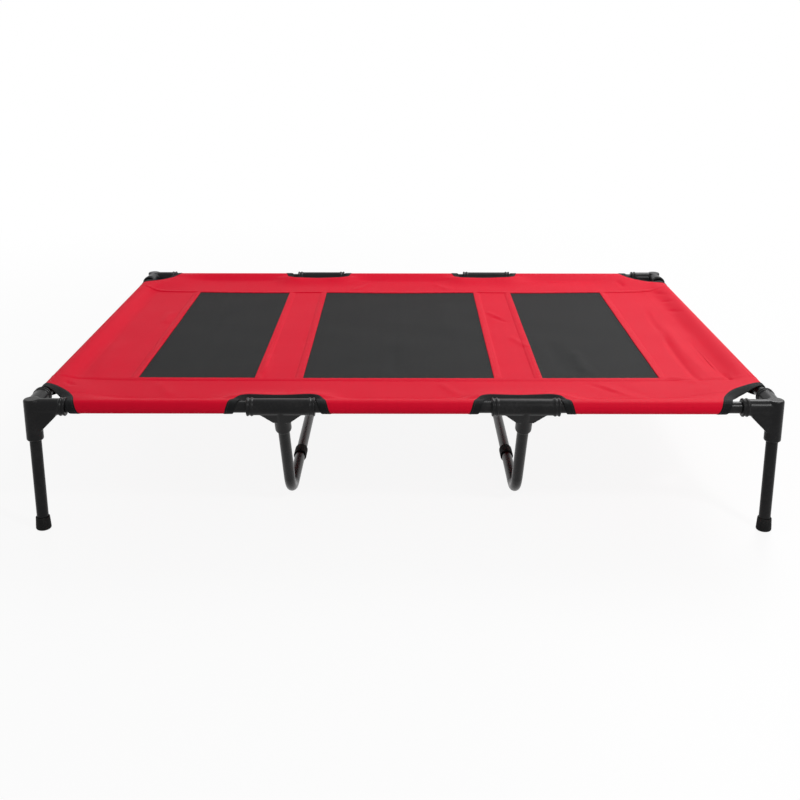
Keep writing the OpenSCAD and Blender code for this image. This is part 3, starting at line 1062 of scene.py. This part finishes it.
def side_outline(side, sleeve, lap):
    """Outline of a side strip, whose cut-outs reach lap under their tapes."""
    seam = side_seam(side, sleeve)
    corner = offset_path(corner_path(sleeve.hem_edge), lap)
    tee = offset_path(tee_path(sleeve.hem_edge), -lap)
    corners = {end: at_corner(corner, side, end) for end in ENDS}
    tees = {end: at_tee(tee, side, end) for end in ENDS}
    return seam + corners["right"][::-1] + tees["right"][::-1] + tees["left"][::-1] + corners["left"]


def end_outline(end, sleeve):
    """Outline of an end strip, between the seams of the two side strips."""
    back, front = flare_path(sleeve, "back", end), flare_path(sleeve, "front", end)
    return front[::-1] + back


def panel_outline(x0, x1, y):
    """Corners of a panel that crosses the bed, between two places along it."""
    return [(x0, -y), (x1, -y), (x1, y), (x0, y)]


def plan_area(flat, triangles):
    corners = flat[np.array(triangles)]
    first, second = corners[:, 1] - corners[:, 0], corners[:, 2] - corners[:, 0]
    return float(np.abs(np.cross(first, second)).sum() / 2)


def flat_size(flat):
    """Width and length of the cut that a sheet was made from."""
    size = np.ptp(flat, axis=0)
    return float(size.min()), float(size.max())


def cross_seam(x):
    """A seam that crosses the bed beside the mesh, from the front to the back."""
    return [(x, y) for y in spread(-MESH_Y, MESH_Y, CROSS_POINTS)]


def cross_hem(x, sleeve, towards):
    """The hem along a crossing seam, on its left (1) or its right (-1)."""
    edge = cross_seam(x)
    return band(edge, offset_path(edge, towards * bed().hem_w), hem_profile(), sleeve)


# Each kind of cut-out: its path, the side of the path that lies inside it, and what puts it in place
CUT_OUTS = (("corner", corner_path, 1, at_corner), ("tee", tee_path, -1, at_tee))


class CotSewSideStrips(bpy.types.Operator):
    """Sew the two long strips round the long rails, with the tapes that bind their cut-outs"""

    bl_idname = "cot.sew_side_strips"
    bl_label = "Sew side strips"

    def execute(self, context):
        settings, sleeve = bed(), make_sleeve()
        tape = tape_material()
        lap = settings.tape_w / 2
        for side in SIDES:
            flat, triangles = cut_sheet(side_outline(side, sleeve, lap), settings.grain)
            seam = side_seam(side, sleeve)
            turned = offset_path(seam, SIDES[side] * settings.hem_w)
            hem = band(seam, turned, hem_profile(), sleeve, seam_press(seam))
            sheet = shell(flat, triangles, sleeve, settings.cloth_t)
            strip = add_piece(f"cloth_side_{side}", [sheet, hem], red_cloth())
            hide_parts(f"side_strip_{side}")
            for end in ENDS:
                for kind, path, inwards, place in CUT_OUTS:
                    edge = path(sleeve.close_edge)
                    free = offset_path(edge, inwards * settings.tape_w)
                    ends = place(edge, side, end), place(free, side, end)
                    bound = band(*ends, tape_profile(), sleeve)
                    piece = add_piece(f"tape_{kind}_{side}_{end}", [bound], tape)
                    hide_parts(f"{kind}_binding_{side}_{end}")
            flat_size(flat)
            plan_area(flat, triangles)
        return {"FINISHED"}


class CotSewEndStrips(bpy.types.Operator):
    """Sew the two end strips round the end rails"""

    bl_idname = "cot.sew_end_strips"
    bl_label = "Sew end strips"

    def execute(self, context):
        settings, sleeve = bed(), make_sleeve()
        for end, sign in ENDS.items():
            flat, triangles = cut_sheet(end_outline(end, sleeve), settings.grain)
            sheet = shell(flat, triangles, sleeve, settings.cloth_t)
            hem = cross_hem(sign * MESH_X, sleeve, -sign)
            strip = add_piece(f"cloth_end_{end}", [sheet, hem], red_cloth())
            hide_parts(f"end_strip_{end}")
            flat_size(flat)
            plan_area(flat, triangles)
        return {"FINISHED"}


class CotSewCrossBands(bpy.types.Operator):
    """Sew the two cross bands between the side strips"""

    bl_idname = "cot.sew_cross_bands"
    bl_label = "Sew cross bands"

    def execute(self, context):
        settings, sleeve = bed(), make_sleeve()
        for end, sign in ENDS.items():
            inner, outer = sign * BAND_IN, sign * BAND_OUT
            flat, triangles = cut_sheet(panel_outline(inner, outer, MESH_Y), settings.grain)
            sheet = shell(flat, triangles, sleeve, settings.cloth_t)
            hems = [cross_hem(inner, sleeve, -sign), cross_hem(outer, sleeve, sign)]
            cross = add_piece(f"cloth_band_{end}", [sheet, *hems], red_cloth())
            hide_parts(f"cross_band_{end}")
            flat_size(flat)
        return {"FINISHED"}


class CotLayMeshPanels(bpy.types.Operator):
    """Lay the three mesh panels between the strips and bands"""

    bl_idname = "cot.lay_mesh_panels"
    bl_label = "Lay mesh panels"

    def execute(self, context):
        settings, sleeve = bed(), make_sleeve()
        material = mesh_material()
        tuck = settings.hem_w / MESH_TUCK_PARTS
        reach = {"left": (-MESH_X, -BAND_OUT), "middle": (-BAND_IN, BAND_IN), "right": (BAND_OUT, MESH_X)}
        for part, (x0, x1) in reach.items():
            outline = panel_outline(x0 - tuck, x1 + tuck, MESH_Y + tuck)
            flat, triangles = cut_sheet(outline, MESH_GRAIN * settings.grain)
            sheet = shell(flat, triangles, sleeve, settings.mesh_t)
            panel = add_piece(f"mesh_{part}", [sheet], material)
            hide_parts(f"mesh_panel_{part}")
            flat_size(flat)
        return {"FINISHED"}


def stitch_tree(material):
    """Geometry nodes that set small stitches along the edges of a mesh of lines."""
    tree = bpy.data.node_groups.new("Stitch rows", "GeometryNodeTree")
    sockets = {}
    tree.interface.new_socket("Geometry", in_out="INPUT", socket_type="NodeSocketGeometry")
    for name in ("Pitch", "Length", "Thread"):
        socket = tree.interface.new_socket(name, in_out="INPUT", socket_type="NodeSocketFloat")
        sockets[name] = socket.identifier
    tree.interface.new_socket("Geometry", in_out="OUTPUT", socket_type="NodeSocketGeometry")
    given, result = tree.nodes.new("NodeGroupInput"), tree.nodes.new("NodeGroupOutput")
    lines = add_node(tree, "GeometryNodeMeshToCurve", {"Mesh": given.outputs["Geometry"]})
    spacing = {"Curve": lines.outputs[0], "Length": given.outputs["Pitch"]}
    spaced = add_node(tree, "GeometryNodeResampleCurve", spacing, mode="LENGTH")
    lengths = {"X": given.outputs["Length"], "Y": given.outputs["Thread"], "Z": given.outputs["Thread"]}
    size = add_node(tree, "ShaderNodeCombineXYZ", lengths)
    capsule = add_node(tree, "GeometryNodeMeshUVSphere", {"Segments": 6, "Rings": 4, "Radius": 0.5})
    tangent = add_node(tree, "GeometryNodeInputTangent")
    turn = add_node(tree, "FunctionNodeAlignRotationToVector", {"Vector": tangent.outputs[0]}, axis="X")
    placing = {"Points": spaced, "Instance": capsule, "Rotation": turn, "Scale": size}
    inputs = {name: node.outputs[0] for name, node in placing.items()}
    placed = add_node(tree, "GeometryNodeInstanceOnPoints", inputs)
    solid = add_node(tree, "GeometryNodeRealizeInstances", {"Geometry": placed.outputs[0]})
    smooth = add_node(tree, "GeometryNodeSetShadeSmooth", {"Geometry": solid.outputs[0]})
    inputs = {"Geometry": smooth.outputs[0], "Material": material}
    finished = add_node(tree, "GeometryNodeSetMaterial", inputs)
    tree.links.new(finished.outputs[0], result.inputs[0])
    return tree, sockets


def sew_rows(name, rows, material):
    """A piece with stitches along rows of points."""
    settings = bed()
    points, edges = [], []
    for row in rows:
        start = len(points)
        points += [tuple(p) for p in row]
        edges += [(start + i, start + i + 1) for i in range(len(row) - 1)]
    lines = bpy.data.meshes.new(name)
    lines.from_pydata(points, edges, [])
    piece = new_object(name, lines)
    tree, sockets = stitch_tree(material)
    rule = piece.modifiers.new("Stitches", "NODES")
    rule.node_group = tree
    rule[sockets["Pitch"]] = settings.stitch_pitch
    rule[sockets["Length"]] = settings.stitch_l
    rule[sockets["Thread"]] = settings.thread_d
    if not made_plain(piece).polygons:
        raise RuntimeError(f"{name} has no stitches")
    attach(piece, BODY)


class CotSewStitches(bpy.types.Operator):
    """Set the rows of stitches along the hems, the sleeves and the tapes"""

    bl_idname = "cot.sew_stitches"
    bl_label = "Sew stitches"

    def execute(self, context):
        settings, sleeve = bed(), make_sleeve()
        half = settings.cloth_t / 2
        sleeve_lift, tape_lift = SLEEVE_STITCH_LIFT * half, TAPE_STITCH_LIFT * half
        red = thread_material("red_sewing_thread", settings.cloth_colour)
        black = thread_material("black_sewing_thread", settings.tape_colour)
        hem_rows = []
        for row, height in STITCH_ROWS:
            inset, hem_lift = row * settings.hem_w, height * settings.hem_h
            for side, sign in SIDES.items():
                seam = side_seam(side, sleeve)
                lift = hem_lift * seam_press(seam)
                hem_rows.append(bed_surface(offset_path(seam, sign * inset), sleeve, lift))
            for sign in ENDS.values():
                for x in (MESH_X + inset, BAND_IN + inset, BAND_OUT - inset):
                    hem_rows.append(bed_surface(cross_seam(sign * x), sleeve, hem_lift))
        sew_rows("stitches_hems", hem_rows, red)
        sew_rows("stitches_sleeves", sleeve_rows(sleeve, sleeve_lift), red)
        tape_rows = []
        inset = TAPE_STITCH_INSET * settings.tape_w
        for side, end in CORNERS:
            for _, path, inwards, place in CUT_OUTS:
                row = offset_path(path(sleeve.close_edge), inwards * inset)
                tape_rows.append(bed_surface(place(row, side, end), sleeve, tape_lift))
        sew_rows("stitches_tapes", tape_rows, black)
        return {"FINISHED"}


def sleeve_rows(sleeve, lift):
    """Rows of stitches that close the sleeves, between the cut-outs and the flared seams."""
    inward = SLEEVE_RUN + SLEEVE_STITCH_INSET
    corner = CORNER_X + math.sqrt(CORNER_R**2 - (inward - CORNER_Y) ** 2) + STITCH_CLEAR
    tee = TEE_CUT_HALF + STITCH_CLEAR
    left_tee, right_tee = (sign * TEE_X + TEE_CUT_SHIFT for sign in ENDS.values())
    starts = corner - AXIS_X, left_tee + tee, right_tee + tee
    stops = left_tee - tee, right_tee - tee, AXIS_X - corner
    rows = []
    for sign in SIDES.values():
        y = sign * (AXIS_Y - inward)
        for start, stop in zip(starts, stops):
            rows.append(bed_surface([(x, y) for x in spread(start, stop, SIDE_ROW_POINTS)], sleeve, lift))
    for end, sign in ENDS.items():
        x = sign * (AXIS_X - inward)
        front, back = (float(flare_y(side, end, FLARE_L - inward)) - STITCH_CLEAR for side in SIDES)
        rows.append(bed_surface([(x, y) for y in spread(-front, back, END_ROW_POINTS)], sleeve, lift))
    return rows


def area_light(name, place, target, size, power):
    lamp = bpy.data.lights.new(name, "AREA")
    lamp.shape = "DISK"
    lamp.size = size
    lamp.energy = power
    lit = new_object(name, lamp)
    lit.location = place
    lit.rotation_euler = (Vector(target) - Vector(place)).to_track_quat("-Z", "Y").to_euler()


def seen_rays(tree):
    """One for the rays that show a surface itself: to the camera, mirrored or through glass."""
    rays = add_node(tree, "ShaderNodeLightPath")
    mirrored_too = math_node(tree, "MAXIMUM", rays.outputs["Is Camera Ray"], rays.outputs["Is Glossy Ray"])
    return math_node(tree, "MAXIMUM", mirrored_too, rays.outputs["Is Transmission Ray"])


def pale_world(strength):
    """Even light from all round, which the camera and reflections see as white."""
    world = bpy.data.worlds.new("studio")
    world.use_nodes = True
    tree = world.node_tree
    sky = tree.nodes["Background"]
    level = math_node(tree, "MULTIPLY_ADD", seen_rays(tree), 1.0 - strength, strength)
    feed(tree, sky, {"Color": WHITE, "Strength": level})
    bpy.context.scene.world = world


def floor_material(colour):
    """Pale floor that keeps the shadow of the cot and fades into the white all round."""
    material, tree, skin = new_material("pale_floor")
    texture = skin_grain(tree, grain=60.0, drift=1.5)
    patches = ranged(tree, texture.outputs["Tone"], 0.0, 0.3)
    toned = mix_colour(tree, patches, rgba(colour), rgba(colour, 0.97))
    feed(tree, skin, {"Base Color": toned, "Roughness": 0.35, "Specular IOR Level": 0.25})
    place = add_node(tree, "ShaderNodeTexCoord")
    away = add_node(tree, "ShaderNodeVectorMath", {0: place.outputs["Object"]}, operation="LENGTH")
    reach = {"From Min": 0.7, "From Max": 2.6, "To Min": 0.91, "To Max": 1.0}
    inputs = {"Value": away.outputs["Value"], **reach}
    fade = add_node(tree, "ShaderNodeMapRange", inputs, interpolation_type="SMOOTHSTEP")
    glow = add_node(tree, "ShaderNodeEmission", {"Color": WHITE, "Strength": 1.0})
    share = math_node(tree, "MULTIPLY", seen_rays(tree), fade.outputs[0])
    mixed = add_node(tree, "ShaderNodeMixShader", {0: share, 1: skin.outputs[0], 2: glow.outputs[0]})
    tree.links.new(mixed.outputs[0], tree.nodes["Material Output"].inputs["Surface"])
    return material


class CotSetStage(bpy.types.Operator):
    """Set up the pale floor, the soft light and the camera"""

    bl_idname = "cot.set_stage"
    bl_label = "Set stage"

    def execute(self, context):
        scene = context.scene
        settings = scene.cot_stage
        half = settings.floor_w / 2
        ground = bpy.data.meshes.new("floor")
        corners = [(x, y, 0.0) for x, y in panel_outline(-half, half, half)]
        ground.from_pydata(corners, [], [tuple(range(len(corners)))])
        ground.materials.append(floor_material(settings.floor_colour))
        floor = new_object("floor", ground)
        pale_world(settings.sky)
        middle = (0.0, 0.0, RAIL_Z)
        area_light("key", place=(1.3, 1.5, 2.2), target=middle, size=1.6, power=51.0)
        area_light("side", place=(1.15, -1.58, 1.77), target=middle, size=0.3, power=20.0)
        lens = bpy.data.cameras.new("camera")
        lens.sensor_width = PICTURE_W
        lens.lens = settings.lens
        lens.shift_y = settings.camera_shift
        camera = new_object("camera", lens)
        camera.location = settings.camera_at
        camera.rotation_euler = settings.camera_turn
        scene.camera = camera
        scene.view_settings.view_transform = "Standard"
        return {"FINISHED"}


STEPS = (
    CotDressTubes, CotMouldConnectors, CotDressRubber, CotSewSideStrips, CotSewEndStrips,
    CotSewCrossBands, CotLayMeshPanels, CotSewStitches, CotSetStage,
)


class CotPanel(bpy.types.Panel):
    """Sizes, colours and steps of the cot"""

    bl_idname = "COT_PT_steps"
    bl_label = "Raised dog cot"
    bl_space_type = "VIEW_3D"
    bl_region_type = "UI"
    bl_category = "Cot"

    def draw(self, context):
        for group in (context.scene.cot_bed, context.scene.cot_frame, context.scene.cot_stage):
            box = self.layout.box()
            for name in group.__annotations__:
                box.prop(group, name)
        for step in STEPS:
            self.layout.operator(step.bl_idname)


GROUPS = {"cot_bed": CotBed, "cot_frame": CotFrame, "cot_stage": CotStage}
CLASSES = (*GROUPS.values(), *STEPS, CotPanel)


def register():
    for kind in CLASSES:
        bpy.utils.register_class(kind)
    for name, kind in GROUPS.items():
        setattr(bpy.types.Scene, name, bpy.props.PointerProperty(type=kind))


def unregister():
    for name in GROUPS:
        delattr(bpy.types.Scene, name)
    for kind in reversed(CLASSES):
        bpy.utils.unregister_class(kind)


def main():
    register()
    for step in STEPS:
        group, name = step.bl_idname.split(".")
        getattr(getattr(bpy.ops, group), name)()


if __name__ == "__main__":
    main()
